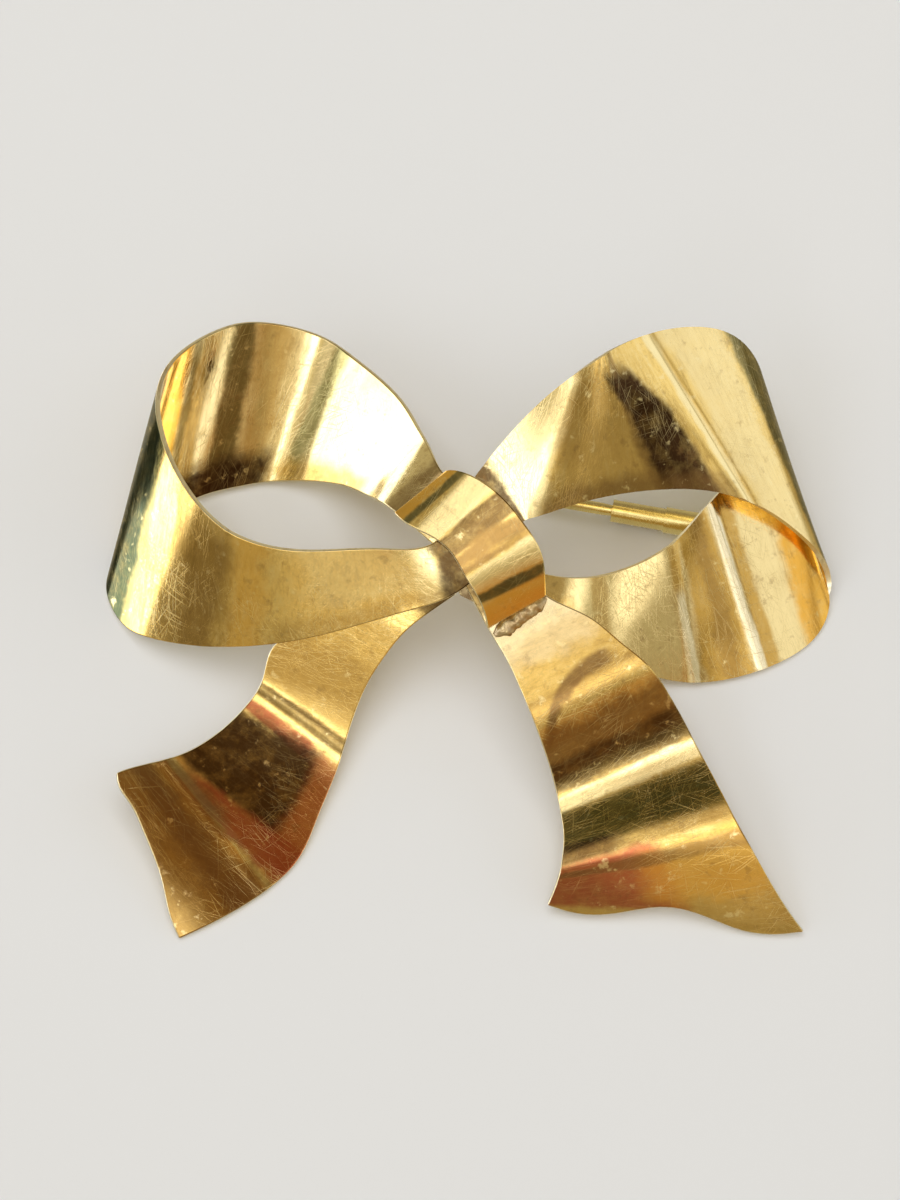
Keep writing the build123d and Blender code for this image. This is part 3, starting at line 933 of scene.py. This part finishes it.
def solder_seam(name, grid):
    """A lumpy run of solder across a ribbon, where another one ends on it."""
    points = grid.points
    row = np.abs(grid.along[:, 0] - seam_place).argmin()
    count = points.shape[1]
    columns = np.linspace(1, count - 2, seam_rings)
    middle = [np.interp(columns, range(count), points[row, :, axis]) for axis in range(3)]
    middle = np.stack(middle, axis=1)
    up = outward(points)[row].mean(axis=0)
    up = up * np.sign(up[2])
    over = points[row + 1, seam_column] - points[row, seam_column]
    over = over / np.linalg.norm(over)
    lumps = []
    for i in range(seam_rings):
        lumps.extend(seam_ring(i, middle[i], up, over))
    faces = []
    for i in range(seam_rings - 1):
        here = i * seam_points
        there = here + seam_points
        for j in range(seam_points):
            k = (j + 1) % seam_points
            faces.append((here + j, here + k, there + k, there + j))
    faces.append(tuple(range(seam_points)))
    faces.append(tuple(range(len(lumps) - seam_points, len(lumps)))[::-1])
    mesh = bpy.data.meshes.new(name)
    mesh.from_pydata((lying(np.array(lumps)) * MM).tolist(), [], faces)
    mesh.polygons.foreach_set("use_smooth", [True] * len(mesh.polygons))
    mesh.materials.append(gold(name + "_metal", solder_finish))
    piece = bpy.data.objects.new(name, mesh)
    bpy.context.scene.collection.objects.link(piece)
    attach(piece, "bow")


solder_seam("solder_seam", right_tail)

for node in ("pin_hinge", "pin_catch", "pin_stem"):
    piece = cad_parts[node]
    piece.data.materials.clear()
    piece.data.materials.append(fitting_metal)


def floor():
    """A plain pale floor, which the gold doesn't mirror."""
    # In metres
    half = 0.6
    corners = [(-half, -half, 0), (half, -half, 0), (half, half, 0), (-half, half, 0)]
    mesh = bpy.data.meshes.new("floor")
    mesh.from_pydata(corners, [], [(0, 1, 2, 3)])
    piece = bpy.data.objects.new("floor", mesh)
    bpy.context.scene.collection.objects.link(piece)
    shader = Shader("pale_floor")
    shader.set_surface({"Base Color": opaque(floor_colour), "Roughness": 0.9})
    mesh.materials.append(shader.material)
    piece.visible_glossy = False


def ceiling():
    """A soft square lamp above the bow, which the gold doesn't mirror."""
    # In millimetres, and its power below in watts
    place = Vector((-40.0, 60.0, 520.0))
    side = 400.0
    data = bpy.data.lights.new("ceiling", "AREA")
    data.shape = "RECTANGLE"
    data.size = side * MM
    data.size_y = side * MM
    data.energy = 1.15
    data.color = lamp_colour
    lamp = bpy.data.objects.new("ceiling", data)
    bpy.context.scene.collection.objects.link(lamp)
    lamp.location = place * MM
    lamp.rotation_euler = (-place).to_track_quat("-Z", "Y").to_euler()
    lamp.visible_glossy = False


# The room as the bow mirrors it: soft patches, each laid over those before it. Where a patch
# lies is told in the bow's own plane, by degrees round from its right and degrees off the line
# to the viewer, then how far its even middle and its faint rim reach, its colour and its power
Patch = namedtuple("Patch", "round off middle rim colour power")
white_light = (0.98, 0.99, 1.02)
cream_light = (1.0, 0.96, 0.90)
tan_light = (1.0, 0.85, 0.60)
orange_light = (1.0, 0.62, 0.30)
olive_light = (0.80, 0.85, 0.50)
room_light = (0.46, 0.41, 0.29)
PATCHES = [
    Patch(90.0, 66.0, 22.0, 44.0, tan_light, 0.30),
    Patch(-62.0, 60.0, 12.0, 26.0, orange_light, 0.50),
    Patch(-122.0, 26.0, 14.0, 24.0, tan_light, 0.75),
    Patch(-155.0, 74.0, 8.0, 16.0, tan_light, 0.32),
    Patch(15.0, 70.0, 12.0, 24.0, white_light, 1.00),
    Patch(-18.0, 60.0, 4.0, 10.0, cream_light, 1.6),
    Patch(5.0, 34.0, 6.0, 14.0, cream_light, 0.95),
    Patch(-42.0, 58.0, 4.0, 8.0, cream_light, 1.3),
    Patch(-60.0, 28.0, 5.0, 10.0, orange_light, 0.50),
    Patch(104.0, 37.0, 8.0, 15.0, olive_light, 0.07),
    Patch(60.0, 20.0, 9.0, 18.0, orange_light, 0.40),
    Patch(0.0, 0.0, 7.0, 15.0, cream_light, 1.4),
    Patch(0.0, 3.0, 4.0, 9.0, white_light, 2.8),
    Patch(130.0, 20.0, 7.0, 12.0, cream_light, 1.3),
    Patch(-15.0, 17.0, 4.0, 9.0, cream_light, 1.2),
    Patch(350.0, 133.0, 10.0, 18.0, white_light, 2.0),
    Patch(336.0, 93.0, 9.0, 17.0, white_light, 2.4),
    Patch(186.0, 38.0, 9.0, 15.0, white_light, 2.2),
    Patch(-127.0, 34.0, 4.0, 7.5, white_light, 2.6),
    Patch(192.0, 62.0, 4.0, 8.0, white_light, 2.6),
    Patch(187.0, 74.0, 5.0, 9.0, white_light, 2.6),
    Patch(179.0, 83.0, 6.0, 10.0, white_light, 2.6),
    Patch(171.0, 92.0, 7.0, 11.0, white_light, 2.6),
    Patch(163.0, 102.0, 8.0, 14.0, white_light, 2.6),
    Patch(155.0, 114.0, 9.0, 16.0, white_light, 2.6),
    Patch(147.0, 128.0, 11.0, 19.0, white_light, 2.4),
    Patch(188.0, 94.0, 4.0, 6.5, white_light, 4.0),
    Patch(185.0, 101.0, 3.5, 6.0, white_light, 4.0),
    Patch(192.5, 88.0, 2.0, 4.5, white_light, 4.0),
    Patch(182.0, 107.0, 3.0, 5.5, white_light, 4.0),
    Patch(175.0, 121.0, 8.0, 12.0, olive_light, 0.12),
]


def from_bow(turn, off):
    """A direction given in the bow's own plane, in the frame of the whole model."""
    aside = sin(radians(off)) * cos(radians(turn))
    rise = sin(radians(off)) * sin(radians(turn))
    toward = cos(radians(off))
    tilt = radians(pitch)
    return aside, rise * cos(tilt) - toward * sin(tilt), rise * sin(tilt) + toward * cos(tilt)


def surroundings():
    """A warm dim room with soft bright and dark patches in it."""
    world = bpy.data.worlds.new("room")
    bpy.context.scene.world = world
    world.use_nodes = True
    world.node_tree.nodes.clear()
    nodes = Nodes(world.node_tree)
    direction = nodes.add("ShaderNodeTexCoord").outputs["Generated"]
    colour = opaque(room_light)
    for patch in PATCHES:
        toward = {0: direction, 1: from_bow(patch.round, patch.off)}
        facing = nodes.add("ShaderNodeVectorMath", toward, operation="DOT_PRODUCT").outputs["Value"]
        cover = nodes.fade(facing, cos(radians(patch.rim)), cos(radians(patch.middle)))
        light = opaque(tuple(patch.power * part for part in patch.colour))
        colour = nodes.mix(cover, colour, light)
    background = nodes.add("ShaderNodeBackground", {"Color": colour}).outputs["Background"]
    nodes.add("ShaderNodeOutputWorld", {"Surface": background})


def backdrop():
    """A plain pale dome behind the floor, which only the camera sees."""
    # In metres, so that it meets the floor inside its edge
    dome_radius = 0.58
    bpy.ops.mesh.primitive_uv_sphere_add(segments=64, ring_count=32, radius=dome_radius)
    dome = bpy.context.object
    dome.name = "backdrop"
    shader = Shader("pale_backdrop")
    shader.set_surface({"Base Color": opaque(black), "Roughness": 1.0})
    shader.set_surface({"Emission Color": opaque(backdrop_colour), "Emission Strength": 1.0})
    dome.data.materials.append(shader.material)
    dome.visible_diffuse = False
    dome.visible_glossy = False
    dome.visible_shadow = False
    dome.visible_transmission = False


def camera():
    """The photograph's view: square to the bow's own plane."""
    # In millimetres, in that plane's own directions
    distance = 231.5
    aside = -1.389
    below = -3.472
    data = bpy.data.cameras.new("view")
    data.lens = 100.0
    data.sensor_fit = "VERTICAL"
    data.sensor_height = 36.0
    data.clip_start = 0.01
    data.clip_end = 5.0
    eye = bpy.data.objects.new("view", data)
    bpy.context.scene.collection.objects.link(eye)
    eye.location = Vector(lying(np.array([aside, below, distance]))) * MM
    eye.rotation_euler = (radians(pitch), 0, 0)
    bpy.context.scene.camera = eye


floor()
backdrop()
surroundings()
ceiling()
camera()

bpy.context.scene.view_settings.view_transform = "Standard"
